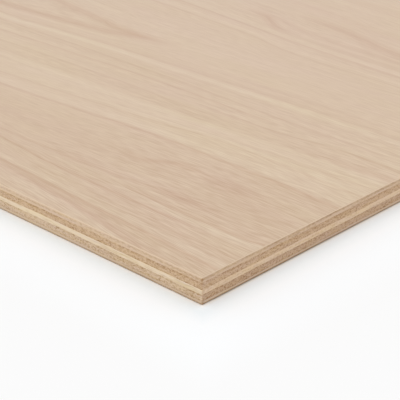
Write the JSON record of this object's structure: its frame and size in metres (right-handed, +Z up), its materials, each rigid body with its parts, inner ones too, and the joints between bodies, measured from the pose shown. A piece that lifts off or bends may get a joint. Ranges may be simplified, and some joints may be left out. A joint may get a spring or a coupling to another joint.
{
  "type": "plywood sheet",
  "caption": "Flat rectangular plywood sheet of cross-laminated wood plies with a pale fine-grained face, layered edges and lightly sanded arrises, for panelling, floors and furniture.",
  "frame": {"origin": "middle of the underside, on the surface that the sheet lies on", "axes": "+X along the sheet's length and its face grain, +Y across its width, +Z up through its thickness, towards the face veneer"},
  "size_m": [2.44, 1.22, 0.012],
  "materials": {
    "face_veneer": "matte",
    "crossband": "matte",
    "core_ply": "matte",
    "back_veneer": "matte"
  },
  "bodies": {
    "root": {"face_veneer": "face_veneer", "upper_crossband": "crossband", "core_ply": "core_ply", "lower_crossband": "crossband", "back_veneer": "back_veneer"}
  },
  "joints": []
}
